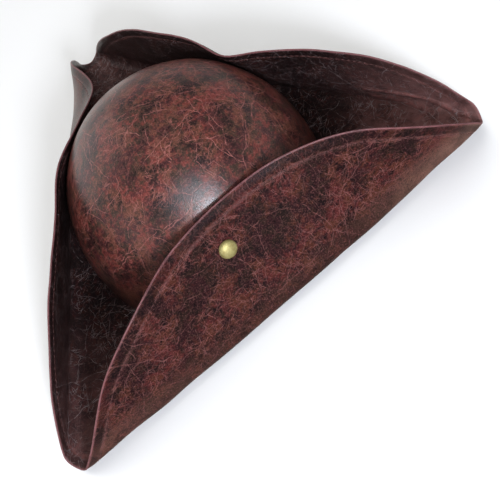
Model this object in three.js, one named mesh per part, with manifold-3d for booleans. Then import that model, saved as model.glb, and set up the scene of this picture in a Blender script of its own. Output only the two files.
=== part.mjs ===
// Three-cornered leather hat: a smooth domed crown and a round brim folded up on three sides.
// Each flap leans in until it meets the crown, where a brass stud holds it.
// Millimetres, +Z up, +Y towards the front point, +X towards the wearer's right.
// Every piece is shaped about the crown's upright axis, with the underside of the brim on z = 0.
// The finished hat stands on its origin, at the middle of its length and width.
import * as THREE from "three";
import { mergeVertices } from "three/addons/utils/BufferGeometryUtils.js";
import Module from "manifold-3d";

// Crown
const CROWN_WIDTH = 188;
const CROWN_DEPTH = 188;
const CROWN_HEIGHT = 112;
const CROWN_WALL = 2;
const CROWN_FULLNESS = 2.2; // 2 is an ellipse, more is boxier

// Brim, measured on the flat leather before it is folded
const BRIM_WALL = 2.4;
const BRIM_WIDTH = 106; // from the crown to the cut edge, at the middle of a flap
const POINT_LENGTH = 6; // how much further the cut edge reaches at the three points
const SHELF_WIDTH = 7; // flat leather between the crown and a fold
const FOLD_RADIUS = 8;
const BACK_LEFT_POINT_LIFT = 3.6;
const BACK_RIGHT_POINT_LIFT = 7;
const FRONT_POINT_SWAY = 14.5; // the front point is pushed to the wearer's right
const BACK_POINT_SWAY = -1.5; // and both back points a little to the left
const PINCH_ANGLE = 6; // how far the right flap is drawn in at its stud, in degrees
const PINCH_REACH = 20; // half the length of flap that this draws in

// Studs
const STUD_CAP_DIAMETER = 12.5;
const STUD_CAP_HEIGHT = 3.4;
const STUD_CAP_RIM = 0.5;
const STUD_POST_DIAMETER = 3;
const STUD_HEAD_DIAMETER = 9;
const STUD_HEAD_THICKNESS = 0.8;

// Clearance between separate pieces
const GAP = 0.3;

// Fineness of the faceted surfaces
const BRIM_SECTORS = 120;
const SHELF_STEPS = 2;
const TROUGH_STEPS = 2;
const FOLD_STEPS = 4;
const FLAP_STEPS = 5;
const CROWN_SECTORS = 60;
const CROWN_STEPS = 11;
const STUD_SECTORS = 16;
const STUD_DOME_STEPS = 6;
const FLAT_SHARE = 0.7; // of the shelf's width, kept exactly flat around the head opening
const POINT_FOLD_SHARE = 0.08; // least part of the brim's width beyond a fold's start
const POINT_FLAP_SHARE = 0.04; // least part of the brim's width beyond a fold's end
const CAP_REACH = 1.5; // how far around a cap its flap is measured, in cap radii
const SEARCH = { leanLow: 60, leanHigh: 170, rounds: 24, along: 16, up: 32, depth: 0.1 };

const RADIANS = Math.PI / 180;

// A flap faces one way. Its stud sits up the flap from the fold, as a share of the flap's height,
// and along it from the middle, as a share of the fold's half length. Seen from outside, a
// negative share is to the left.
const FLAPS = [
  { name: "back", facing: -90, studUp: 0.7125, studAlong: -0.093, pinch: 0 },
  { name: "right", facing: 30, studUp: 0.62, studAlong: -0.085, pinch: PINCH_ANGLE },
  { name: "left", facing: 150, studUp: 0.62, studAlong: -0.12, pinch: 0 },
];

// Each flap's lean in degrees, more than its lean where it meets the crown.
// "along" is a share of the distance from the middle of the fold to a point of the hat.
const LEANS = [
  { along: -1.00, back: -38, right: -10.5, left: -8 },
  { along: -0.75, back: -17, right: -9, left: -6 },
  { along: -0.50, back: -10, right: -4, left: 14 },
  { along: -0.25, back: -2.5, right: 1.5, left: 8.5 },
  { along: 0.00, back: 0, right: 0, left: 0 },
  { along: 0.25, back: -1, right: -0.5, left: -1 },
  { along: 0.50, back: -11, right: -1, left: -4.5 },
  { along: 0.75, back: -31, right: 0, left: -7.5 },
  { along: 1.00, back: -42, right: -2.5, left: -16 },
];

// The three points of the hat, between the flaps
const POINTS = [
  { facing: 90, lift: 0, sway: FRONT_POINT_SWAY },
  { facing: 210, lift: BACK_LEFT_POINT_LIFT, sway: BACK_POINT_SWAY },
  { facing: 330, lift: BACK_RIGHT_POINT_LIFT, sway: BACK_POINT_SWAY },
];

const crownRadiusX = CROWN_WIDTH / 2;
const crownRadiusY = CROWN_DEPTH / 2;
const crownBase = BRIM_WALL + GAP;

function smoothstep(x) {
  const t = Math.min(Math.max(x, 0), 1);
  return t * t * (3 - 2 * t);
}

function direction(degrees) {
  return new THREE.Vector2(Math.cos(degrees * RADIANS), Math.sin(degrees * RADIANS));
}

// Distance from the crown's axis to its outer wall at the base, on a bearing in degrees
function crownRadius(bearing) {
  const d = direction(bearing);
  return 1 / Math.hypot(d.x / crownRadiusX, d.y / crownRadiusY);
}

// Distance from the axis to the brim's cut edge on the flat leather
function brimRadius(bearing) {
  const towardsPoint = 0.5 + 0.5 * Math.cos(3 * (bearing - POINTS[0].facing) * RADIANS);
  return crownRadius(bearing) + BRIM_WIDTH + POINT_LENGTH * towardsPoint;
}

function foldDistance(flap) {
  return crownRadius(flap.facing) + SHELF_WIDTH;
}

function flapHeight(flap) {
  return brimRadius(flap.facing) - foldDistance(flap);
}

// From the middle of a fold to the point where it would meet the next fold
function foldHalfLength(flap) {
  return foldDistance(flap) * Math.tan(60 * RADIANS);
}

const leanCurves = Object.fromEntries(FLAPS.map((flap) => [
  flap.name,
  new THREE.SplineCurve(LEANS.map((row) => new THREE.Vector2(row.along, row[flap.name]))),
]));

// Lean in degrees of a flap at a distance along its fold, where its lean at the crown is known
function leanAt(flap, along, crownLean) {
  const share = Math.min(Math.max(along / foldHalfLength(flap), -1), 1);
  const eased = leanCurves[flap.name].getPoint((share + 1) / 2).y;
  const fromStud = along - flap.studAlong * foldHalfLength(flap);
  const pinched = Math.exp(-((fromStud / PINCH_REACH) ** 2)) - 1;
  return crownLean + eased + flap.pinch * pinched;
}

// Where a spot of the flat leather goes when the brim is folded, on the middle of its thickness
function fold(x, y, crownLeans) {
  const place = new THREE.Vector3(x, y, BRIM_WALL / 2);
  for (const flap of FLAPS) {
    const out = direction(flap.facing);
    const beyond = x * out.x + y * out.y - foldDistance(flap);
    if (beyond > 0) {
      const along = y * out.x - x * out.y;
      const lean = leanAt(flap, along, crownLeans[flap.name]) * RADIANS;
      const bent = Math.min(beyond, FOLD_RADIUS * lean);
      const turn = bent / FOLD_RADIUS;
      const straight = beyond - bent;
      const outward = FOLD_RADIUS * Math.sin(turn) + straight * Math.cos(lean) - beyond;
      place.x += outward * out.x;
      place.y += outward * out.y;
      place.z += FOLD_RADIUS * (1 - Math.cos(turn)) + straight * Math.sin(lean);
    }
  }
  for (const point of POINTS) {
    const out = direction(point.facing);
    const start = foldDistance(FLAPS[0]);
    const share = smoothstep((x * out.x + y * out.y - start) / (brimRadius(point.facing) - start));
    place.z += point.lift * share;
    place.x += point.sway * share;
  }
  return place;
}

// Outward normal of the folded leather: up where it is flat, towards the crown on a flap
function foldNormal(x, y, crownLeans) {
  const step = 0.05;
  const alongX = fold(x + step, y, crownLeans).sub(fold(x - step, y, crownLeans));
  const alongY = fold(x, y + step, crownLeans).sub(fold(x, y - step, crownLeans));
  return alongX.cross(alongY).normalize();
}

// How far outside the crown's surface, shrunk by an inset, a place is. Negative is inside.
function crownDistance(place, inset = 0) {
  const level = (p) => {
    const across = Math.hypot(p.x / (crownRadiusX - inset), p.y / (crownRadiusY - inset));
    const up = Math.max(p.z - crownBase, 0) / (CROWN_HEIGHT - inset);
    return (across ** CROWN_FULLNESS + up ** CROWN_FULLNESS) ** (1 / CROWN_FULLNESS);
  };
  const step = 0.2;
  const slope = new THREE.Vector3(
    level(place.clone().setX(place.x + step)) - level(place.clone().setX(place.x - step)),
    level(place.clone().setY(place.y + step)) - level(place.clone().setY(place.y - step)),
    level(place.clone().setZ(place.z + step)) - level(place.clone().setZ(place.z - step)),
  ).divideScalar(2 * step);
  return (level(place) - 1) / slope.length();
}

// The spot on the flat leather that is "up" from a flap's fold and "along" it
function flatSpot(flap, up, along) {
  const out = direction(flap.facing);
  const far = foldDistance(flap) + up;
  return [far * out.x - along * out.y, far * out.y + along * out.x];
}

// The lean at which some spot of a flap just meets the crown
function findCrownLean(flap) {
  const wanted = BRIM_WALL / 2 + 2 * GAP;
  const height = flapHeight(flap);
  const reach = crownRadius(flap.facing + 90);
  let low = SEARCH.leanLow;
  let high = SEARCH.leanHigh;
  for (let round = 0; round < SEARCH.rounds; round += 1) {
    const lean = (low + high) / 2;
    const leans = Object.fromEntries(FLAPS.map((other) => [other.name, lean]));
    let nearest = Infinity;
    for (let along = -reach; along <= reach; along += reach / SEARCH.along) {
      for (let up = FOLD_RADIUS; up <= height; up += height / SEARCH.up) {
        nearest = Math.min(nearest, crownDistance(fold(...flatSpot(flap, up, along), leans)));
      }
    }
    if (nearest > wanted) low = lean;
    else high = lean;
  }
  return low;
}

const crownLeans = Object.fromEntries(FLAPS.map((flap) => [flap.name, findCrownLean(flap)]));

const wasm = await Module();
wasm.setup();

function toSolid(geometry) {
  const bare = geometry.clone();
  bare.deleteAttribute("normal");
  bare.deleteAttribute("uv");
  const merged = mergeVertices(bare, 1e-4);
  return new wasm.Manifold(new wasm.Mesh({
    numProp: 3,
    vertProperties: new Float32Array(merged.attributes.position.array),
    triVerts: new Uint32Array(merged.index.array),
  }));
}

function toGeometry(solid) {
  const mesh = solid.getMesh();
  const geometry = new THREE.BufferGeometry();
  geometry.setAttribute("position", new THREE.BufferAttribute(mesh.vertProperties, 3));
  geometry.setIndex(new THREE.BufferAttribute(mesh.triVerts, 1));
  geometry.computeVertexNormals();
  return geometry;
}

// The folded leather as one closed sheet with a round head opening
function brimGeometry() {
  const columns = [];
  for (let sector = 0; sector < BRIM_SECTORS; sector += 1) {
    const bearing = (360 * sector) / BRIM_SECTORS;
    const toFold = (turn) => Math.min(...FLAPS.map((flap) => {
      const share = Math.cos((bearing - flap.facing) * RADIANS);
      const arc = FOLD_RADIUS * crownLeans[flap.name] * RADIANS;
      return share > 0 ? (foldDistance(flap) + turn * arc) / share : Infinity;
    }));
    const edge = brimRadius(bearing);
    const hole = crownRadius(bearing) - CROWN_WALL;
    const shelf = hole + FLAT_SHARE * (CROWN_WALL + SHELF_WIDTH);
    const foldStart = Math.min(toFold(0), edge - POINT_FOLD_SHARE * BRIM_WIDTH);
    const foldEnd = Math.min(toFold(1), edge - POINT_FLAP_SHARE * BRIM_WIDTH);
    const bands = [
      [hole, shelf, SHELF_STEPS],
      [shelf, foldStart, TROUGH_STEPS],
      [foldStart, foldEnd, FOLD_STEPS],
      [foldEnd, edge, FLAP_STEPS],
    ];
    const radii = [hole];
    for (const [from, to, steps] of bands) {
      for (let step = 1; step <= steps; step += 1) radii.push(from + ((to - from) * step) / steps);
    }
    const out = direction(bearing);
    columns.push(radii.map((radius) => {
      const middle = fold(radius * out.x, radius * out.y, crownLeans);
      const half = foldNormal(radius * out.x, radius * out.y, crownLeans).multiplyScalar(BRIM_WALL / 2);
      return { upper: middle.clone().add(half), lower: middle.clone().sub(half) };
    }));
  }
  const rings = columns[0].length;
  const positions = [];
  for (const column of columns) {
    for (const spot of column) positions.push(...spot.upper.toArray(), ...spot.lower.toArray());
  }
  const upper = (sector, ring) => 2 * ((sector % BRIM_SECTORS) * rings + ring);
  const lower = (sector, ring) => upper(sector, ring) + 1;
  const index = [];
  const quad = (a, b, c, d) => index.push(a, b, c, a, c, d);
  for (let s = 0; s < BRIM_SECTORS; s += 1) {
    for (let r = 0; r < rings - 1; r += 1) {
      quad(upper(s, r), upper(s, r + 1), upper(s + 1, r + 1), upper(s + 1, r));
      quad(lower(s, r), lower(s + 1, r), lower(s + 1, r + 1), lower(s, r + 1));
    }
    const last = rings - 1;
    quad(upper(s, 0), upper(s + 1, 0), lower(s + 1, 0), lower(s, 0));
    quad(upper(s, last), lower(s, last), lower(s + 1, last), upper(s + 1, last));
  }
  const geometry = new THREE.BufferGeometry();
  geometry.setAttribute("position", new THREE.Float32BufferAttribute(positions, 3));
  geometry.setIndex(index);
  return geometry;
}

// The crown's outer form, shrunk by an inset, as a filled dome on a flat base
function dome(inset) {
  const power = 2 / CROWN_FULLNESS;
  const profile = [new THREE.Vector2(0, 0)];
  for (let step = 0; step < CROWN_STEPS; step += 1) {
    const angle = ((Math.PI / 2) * step) / CROWN_STEPS;
    profile.push(new THREE.Vector2(Math.cos(angle) ** power, Math.sin(angle) ** power));
  }
  profile.push(new THREE.Vector2(0, 1));
  const geometry = new THREE.LatheGeometry(profile, CROWN_SECTORS);
  geometry.rotateX(Math.PI / 2);
  geometry.scale(crownRadiusX - inset, crownRadiusY - inset, CROWN_HEIGHT - inset);
  geometry.translate(0, 0, crownBase);
  return toSolid(geometry);
}

// How far the flats of a faceted crown may lie inside its true surface
const crownSag = (crownRadiusX + crownRadiusY) / 2
  * (2 - Math.cos(Math.PI / CROWN_SECTORS) - Math.cos(Math.PI / 4 / CROWN_STEPS));

// The stud's seat: its place on the flap's outer face, its axis, how far its cap stands off that
// place so as to clear the curve of the flap, and how deep inside the crown its head lies
function studSeat(flap) {
  const up = flap.studUp * flapHeight(flap);
  const along = flap.studAlong * foldHalfLength(flap);
  const flat = flatSpot(flap, up, along);
  const axis = foldNormal(...flat, crownLeans).negate();
  const face = fold(...flat, crownLeans).addScaledVector(axis, BRIM_WALL / 2);
  const around = [];
  for (let step = 0; step < STUD_SECTORS; step += 1) around.push((360 * step) / STUD_SECTORS);

  const rises = around.map((bearing) => {
    const aside = direction(bearing).multiplyScalar((CAP_REACH * STUD_CAP_DIAMETER) / 2);
    const spot = flatSpot(flap, up + aside.y, along + aside.x);
    return fold(...spot, crownLeans).sub(face).dot(axis) + BRIM_WALL / 2;
  });
  const standoff = Math.max(0, ...rises) + GAP;

  const aside = new THREE.Vector3(0, 0, 1).cross(axis).normalize();
  const upward = axis.clone().cross(aside);
  const headClears = (depth) => around.every((bearing) => {
    const out = direction(bearing).multiplyScalar(STUD_HEAD_DIAMETER / 2);
    const rim = face.clone().addScaledVector(axis, -depth)
      .addScaledVector(aside, out.x)
      .addScaledVector(upward, out.y);
    return crownDistance(rim, CROWN_WALL) < -GAP - crownSag;
  });
  let depth = BRIM_WALL + CROWN_WALL;
  while (!headClears(depth) && depth < crownRadiusX) depth += SEARCH.depth;
  return { face, axis, standoff, depth };
}

const seats = Object.fromEntries(FLAPS.map((flap) => [flap.name, studSeat(flap)]));

// A domed cap, a post and a flat head, along +Z with z = 0 on the flap's outer face
function studGeometry(seat) {
  const cap = STUD_CAP_DIAMETER / 2;
  const post = STUD_POST_DIAMETER / 2;
  const head = STUD_HEAD_DIAMETER / 2;
  const domeBase = seat.standoff + STUD_CAP_RIM;
  const domeHeight = STUD_CAP_HEIGHT - STUD_CAP_RIM;
  const dome = new THREE.EllipseCurve(0, domeBase, cap, domeHeight, 0, Math.PI / 2);
  const profile = [
    [0, -seat.depth - STUD_HEAD_THICKNESS],
    [head, -seat.depth - STUD_HEAD_THICKNESS],
    [head, -seat.depth],
    [post, -seat.depth],
    [post, seat.standoff],
    [cap, seat.standoff],
  ].map(([across, up]) => new THREE.Vector2(across, up));
  profile.push(...dome.getPoints(STUD_DOME_STEPS).slice(0, -1));
  profile.push(new THREE.Vector2(0, domeBase + domeHeight));
  return new THREE.LatheGeometry(profile, STUD_SECTORS).rotateX(Math.PI / 2);
}

// A round cutter on a stud's axis, through the flap and the crown's wall
function studHole(flap) {
  const seat = seats[flap.name];
  const length = 2 * seat.depth + 4 * STUD_CAP_HEIGHT;
  const radius = STUD_POST_DIAMETER / 2 + GAP;
  const geometry = new THREE.CylinderGeometry(radius, radius, length, STUD_SECTORS);
  const turn = new THREE.Quaternion().setFromUnitVectors(new THREE.Vector3(0, 1, 0), seat.axis);
  geometry.applyQuaternion(turn);
  geometry.translate(...seat.face.toArray());
  return toSolid(geometry);
}

const holes = FLAPS.map(studHole);

function pierced(solid) {
  return holes.reduce((rest, hole) => rest.subtract(hole), solid);
}

function crownSolid() {
  return dome(0).subtract(dome(CROWN_WALL));
}

const leather = new THREE.MeshStandardMaterial({ color: 0x5a382f, roughness: 0.55, metalness: 0 });
const brass = new THREE.MeshStandardMaterial({ color: 0xb8a468, roughness: 0.3, metalness: 1 });

const hat = new THREE.Group();

function addMesh(name, geometry, material) {
  const mesh = new THREE.Mesh(geometry, material);
  mesh.name = name;
  hat.add(mesh);
  return mesh;
}

addMesh("crown", toGeometry(pierced(crownSolid())), leather);
addMesh("brim", toGeometry(pierced(toSolid(brimGeometry()))), leather);
for (const flap of FLAPS) {
  const seat = seats[flap.name];
  const stud = addMesh(`stud_${flap.name}`, studGeometry(seat), brass);
  stud.position.copy(seat.face);
  stud.quaternion.setFromUnitVectors(new THREE.Vector3(0, 0, 1), seat.axis);
}

const extent = new THREE.Box3().setFromObject(hat, true);
const middle = extent.getCenter(new THREE.Vector3());
hat.position.set(-middle.x, -middle.y, -extent.min.z);

export default hat;
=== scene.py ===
import math

import bpy
import numpy as np
from mathutils import Matrix, Vector


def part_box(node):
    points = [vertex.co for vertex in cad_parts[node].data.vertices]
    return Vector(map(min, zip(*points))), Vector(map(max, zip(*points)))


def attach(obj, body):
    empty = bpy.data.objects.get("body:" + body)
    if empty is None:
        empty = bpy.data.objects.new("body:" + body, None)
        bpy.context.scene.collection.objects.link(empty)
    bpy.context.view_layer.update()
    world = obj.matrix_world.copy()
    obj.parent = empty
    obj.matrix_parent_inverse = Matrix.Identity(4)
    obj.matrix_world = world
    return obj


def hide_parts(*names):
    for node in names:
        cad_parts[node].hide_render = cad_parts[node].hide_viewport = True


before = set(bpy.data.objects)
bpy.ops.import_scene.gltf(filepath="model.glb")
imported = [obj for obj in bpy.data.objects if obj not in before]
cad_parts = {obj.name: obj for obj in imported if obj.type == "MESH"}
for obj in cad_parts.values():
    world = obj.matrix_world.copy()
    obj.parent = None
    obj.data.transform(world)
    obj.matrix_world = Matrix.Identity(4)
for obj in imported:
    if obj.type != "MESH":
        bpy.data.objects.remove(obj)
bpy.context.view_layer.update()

MM = 0.001

# The hat's named sizes, in millimetres, as in the part's source
CROWN_RADIUS = 94.0
CROWN_HEIGHT = 112.0
CROWN_WALL = 2.0
CROWN_FULLNESS = 2.2
BRIM_WALL = 2.4
BRIM_WIDTH = 106.0
POINT_LENGTH = 6.0
SHELF_WIDTH = 7.0
FOLD_RADIUS = 8.0
BACK_LEFT_POINT_LIFT = 3.6
BACK_RIGHT_POINT_LIFT = 7.0
FRONT_POINT_SWAY = 14.5
BACK_POINT_SWAY = -1.5
PINCH_ANGLE = 6.0
PINCH_REACH = 20.0
STUD_CAP_DIAMETER = 12.5
STUD_CAP_HEIGHT = 3.4
STUD_POST_DIAMETER = 3.0
STUD_HEAD_DIAMETER = 9.0
STUD_HEAD_THICKNESS = 0.8
GAP = 0.3

FOLD_DISTANCE = CROWN_RADIUS + SHELF_WIDTH
FOLD_HALF_LENGTH = FOLD_DISTANCE * math.tan(math.radians(60))
FLAP_HEIGHT = BRIM_WIDTH - SHELF_WIDTH
CROWN_BASE = BRIM_WALL + GAP

# Each flap faces one way and meets the crown at its own lean, in degrees.
# The leans are its lean from one end of its fold to the other, less its lean at the crown.
FLAPS = {
    "back": dict(
        facing=-90, crown_lean=115.53, up=0.7125, along=-0.093, pinch=0,
        leans=(-38, -17, -10, -2.5, 0, -1, -11, -31, -42),
    ),
    "right": dict(
        facing=30, crown_lean=115.9, up=0.62, along=-0.085, pinch=PINCH_ANGLE,
        leans=(-10.5, -9, -4, 1.5, 0, -0.5, -1, 0, -2.5),
    ),
    "left": dict(
        facing=150, crown_lean=113.92, up=0.62, along=-0.12, pinch=0,
        leans=(-8, -6, 14, 8.5, 0, -1, -4.5, -7.5, -16),
    ),
}
# The rub is how pale the leather is made towards each point: partly wear, partly painted light on the
# tips, most at the back right point
POINTS = (
    dict(facing=90, lift=0, sway=FRONT_POINT_SWAY, rub_and_light=0.3),
    dict(facing=210, lift=BACK_LEFT_POINT_LIFT, sway=BACK_POINT_SWAY, rub_and_light=0.4),
    dict(facing=330, lift=BACK_RIGHT_POINT_LIFT, sway=BACK_POINT_SWAY, rub_and_light=1.0),
)
POINT_RUB_AND_LIGHT_ANGLE = 42.0
POINT_RUB_AND_LIGHT_REACH = 50.0  # how far past the fold it grows to its full
BEND_RUB_AND_LIGHT_REACH = 16.0  # how far past a fold's bend its outer side is rubbed smooth and painted paler, partly a painted highlight on the rounded bend
BEND_RUB_AND_LIGHT_EDGE = 6.0  # over how much leather it sets in, about the start of the bend

# Slow unevenness: the length of each wave, its bearing, its phase and its share of the height
WAVE_HEIGHT = 0.55
WAVES = (
    (61, 20, 0.4, 0.42),
    (47, 95, 2.1, 0.3),
    (38, 150, 4.0, 0.2),
    (27, 60, 1.2, 0.12),
    (19, 120, 5.1, 0.06),
)
# How far the leather is even, and how far past that the waves grow to their full
EVEN_AT_CROWN = 2, 16
EVEN_AT_FOLD = 4, 14
EVEN_AT_STUD = 11, 12

# Creases pressed into the right flap near its right point. Each runs in one bend over the flat
# leather from start by way of via to end, and is raised on the flap's inner side.
CREASES = (
    dict(start=(156, -19), via=(173, -49), end=(171, -97), width=1.6, height=1.5),
    dict(start=(150, -28), via=(160, -46), end=(160, -68), width=4.0, height=1.3),
    dict(start=(150, -68), via=(157, -73), end=(166, -75), width=1.8, height=1.0),
)
CREASE_STEPS = 40

# The pared cut edge and the stitches along the hem
EDGE_WALL = 1.2
PARING_REACH = 6.5
EDGE_BLUNTNESS = 0.9
STITCH_INSET = 8.4
STITCH_PITCH = 3.9
STITCH_LENGTH = 2.7
STITCH_SINK = 0.12
STITCH_RISE = 0.26
STITCH_RINGS = 7
STITCH_SIDES = 6
THREAD_DIAMETER = 0.55
THREAD_END = 0.55  # how thick the thread is at a stitch's end, as a share
GROOVE_DEPTH = 0.3
GROOVE_WIDTH = 0.7
HEM_SAMPLES = 7200

# The brim's mesh: how far in from the cut edge each outer ring lies, and the steps between the
# head opening, a share of the shelf, the start and the end of the bend, and the first outer ring
EDGE_RINGS = (0, 0.2, 0.6, 1.2, 2.2, 3.2, 4.4, 5.6, 6.8, 7.6, 8.4, 9.2, 10.2, 11.4, 12.6, 14)
BRIM_STEPS = 5, 10, 22, 27
BRIM_SECTORS = 480
POINT_CROWDING = 0.6  # sectors lie closer together towards the points
SHELF_SHARE = 0.7
BEND_START_ROOM = 10  # how far the bend's rings keep off the outer ones
BEND_END_ROOM = 4
FACE_SHIFT = 400.0  # how far apart the patterns of the leather's two faces are taken

# The crown's mesh and its slow dents
CROWN_SECTORS = 288
CROWN_RINGS = 90
CROWN_CROWDING = 1.15  # rings lie closer together towards the top
CROWN_FOOT = 0.2  # how far the crown reaches into the gap above the brim
CROWN_DENT = 0.7
CROWN_DENT_PLACE = 30
CROWN_DENT_SPREAD = 0.8
CROWN_DENT_RISE = 0.5
CROWN_DENT_FULL = 1 / 3  # the share of the height at which the dents have grown to their full
FAR_FROM_EDGE = 50.0

# The studs' mesh, with the turns of the head's and the rim's rounding in degrees
STUD_SECTORS = 72
SEAT_SECTORS = 16
SEAT_REACH = 1.5  # how far out the flap counts for the cap's standoff, in cap radii
HEAD_TURNS = -90, -60, -30, 0, 30, 60, 90
RIM_TURNS = -150, -110, -70, -35, 0, 30, 55
RIM_RADIUS = 0.32
POST_FILLET = 0.3
POST_TOP = 0.1
NECK_WIDTH = 0.4
NECK_HEIGHT = 0.35
DOME_INSET = 0.02
DOME_START = 8
DOME_STEPS = 22
DOME_FULLNESS = 0.92

# Leather colours, as screen colours from 0 to 255. The brim's are a darker copy of the crown's same
# leather: painted shade that makes the flaps darker than the crown.
SHADED_BRIM_COLOURS = {
    "brown": (39, 16, 18),
    "olive": (33, 20, 15),
    "dark": (13, 6, 8),
    "red": (85, 33, 31),
    "tan": (79, 39, 27),
    "pale": (134, 85, 81),
}
CROWN_COLOURS = {
    "brown": (64, 33, 33),
    "olive": (58, 42, 33),
    "dark": (29, 16, 17),
    "red": (114, 51, 45),
    "tan": (101, 58, 45),
    "pale": (168, 104, 97),
}
# The flaps' inner side: partly the leather's own darker back, partly painted shade in the trough between
# the flaps and the crown
INNER = (32, 26, 26)
# The inner side's pale towards the points: partly wear, partly painted light on the tips
INNER_RUBBED_AND_LIT = (134, 94, 90)
GREY = (134, 122, 122)
# The outer side of each fold's rounded bend: partly smooth rubbed leather, partly a painted highlight on
# the bend
BEND = (74, 46, 38)
BEND_AT_POINT = (124, 90, 77)
RIM = (134, 88, 90)

# How crowded the fine scratches are at least and at most, how strong the long ones are, how much
# of the rubbing comes in large patches, where it starts and ends, the gloss and the grain
BRIM_WEAR = dict(
    sparse=0.25, dense=0.75, long=0.6, patches=0.5, rubbed=(0.47, 0.58), gloss=0.15, grain=0.55,
)
CROWN_WEAR = dict(
    sparse=0.12, dense=0.6, long=0.72, patches=0.3, rubbed=(0.46, 0.57), gloss=0.46, grain=0.38,
)
BRIM_PATTERN_PLACE = (0.0, 0.0, 0.0)
CROWN_PATTERN_PLACE = (130.0, 60.0, 20.0)

# Layers of scratches: the size of their cells, their width, their bend and their strength
HAIRS = (
    (3.6, 0.3, 0.8, 0.6),
    (4.8, 0.32, 0.8, 0.75),
    (6.5, 0.34, 0.8, 0.85),
    (9.0, 0.36, 0.7, 0.9),
    (13.0, 0.4, 0.6, 0.9),
)
LONG_HAIRS = (
    (18.0, 0.4, 0.7, 0.8),
    (26.0, 0.45, 0.7, 0.9),
    (38.0, 0.5, 0.7, 1.0),
    (56.0, 0.6, 0.7, 1.0),
)
FIRST_HAIR = 1
FIRST_LONG_HAIR = 11
HAIR_SHIFT = 17.0, 29.0  # how far each layer is moved from the one before
HAIR_CORE = 0.25  # from here to the edge, as shares of the width, a scratch fades out
HAIR_EDGE = 0.75
HAIR_STRENGTHS = 0, 0.6, 0.25, 1.0

# Noises of the leather: their scale, their finer layers and their roughness
PATCH = 0.04, 4, 0.6
BLOTCH = 0.075, 6, 0.7
FLECK = 0.3, 3, 0.7
SPECK = 0.85, 2, 0.7
GRAIN = 0.95, 3, 0.6
BREAKS = 0.22, 2, 0.6
OLIVE = 0.1, 4, 0.7
WARMTH = 0.08, 3, 0.6
# Noises that bend the pattern, and how far, in millimetres
WANDER, WANDER_REACH = (0.07, 3, 0.6), 4.0
JITTER, JITTER_REACH = (0.5, 2, 0.6), 0.5
CURL, CURL_REACH = (0.045, 2, 0.5), 14.0
PEBBLE_SCALE = 0.75
PEBBLE_SEAM = 0.25
FLECK_SHARE = 0.3  # how much of the rubbing comes in small flecks

# How strongly each noise acts: between which of its values, and from and to which strength
SCRATCHES_BREAK = 0.36, 0.56, 0.25, 1.0
SCRATCHES_CROWD = 0.42, 0.58
BEND_BREAKS = 0.35, 0.6, 0.45, 1.0
BEND_HIDES_SCRATCHES = 0, 1, 1.0, 0.45
BEND_SHOWS_TOWARDS_POINT = 0, 1, 0.45, 0.9
OLIVE_GROWS = 0.45, 0.55
WARMTH_GROWS = 0.45, 0.58
DARK_FADES = 0.36, 0.5, 0.85, 0.0
RUBBED_STRENGTH = 0.85
DARK_SPECKS = 0.33, 0.52
PALE_SPECKS = 0.52, 0.75
PALE_SPECK_SHARE = 0.7
# The inner side's dark fades and its pale grows towards the points: partly wear, partly painted light on
# the tips
INNER_FADES_TOWARDS_POINT = 0, 1, 0.8, 0.3
INNER_FLECKS = 0.35, 0.65, 1.0, 0.6
INNER_RUB_AND_LIGHT = 0.35, 0.6, 0.3, 0.75
CREASE_GROWS = 0.2, 1.4
CREASE_FLECKS = 0.4, 0.62, 0.1, 0.8
INNER_SCRATCHES = 0, 0.8, 0.0, 0.9

# Bands along the cut edge: where each starts and has grown, and where it fades and has ended
RIM_BAND = 1.3, 0.2
RIM_RAGGED = 2.2
RIM_BREAKS = 0.38, 0.6, 0.4, 0.9
HEM_WEAR_BAND = (6.6, 8.0), (11.0, 8.8)
HEM_WEAR_BREAKS = 0.42, 0.6, 0.02, 0.26
HEM_SHADE_BAND = (1.4, 2.4), (7.6, 5.4)
HEM_SHADE = 0.4

# The leather's roughness and relief, with the relief's height in millimetres and its strength
ROUGHNESS = 0.3, 0.7, 0.27, 0.36
SCRATCH_ROUGHNESS = 0.08
GRAIN_HEIGHT = 0.6
PEBBLE_DEPTH = 0.35
SCRATCH_DEPTH = 0.4
LEATHER_RELIEF = 0.12, 0.6

THREAD_COLOURS = (62, 34, 32), (108, 64, 60)
THREAD_TWIST = (20, 35, 50), (900, 2600, 900)
THREAD_ROUGHNESS = 0.7
THREAD_RELIEF = 0.1, 0.6
BRASS = (182, 170, 112)
BRASS_TARNISHED = (150, 134, 80)
BRASS_SCUFFED = (198, 190, 142)
BRASS_PAINTED_SHADE = (26, 20, 18)
TARNISH = 160, 4, 0.65
TARNISH_GROWS = 0.42, 0.7
SCUFFS = (40, 10, 25), (300, 2400, 300)
SCUFFS_GROW = 0.6, 0.75, 0, 0.5
BRASS_METALLIC = 0.6
BRASS_ROUGHNESS = 0.3, 0.7, 0.5, 0.62
BRASS_RELIEF = 0.08, 0.35

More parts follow.
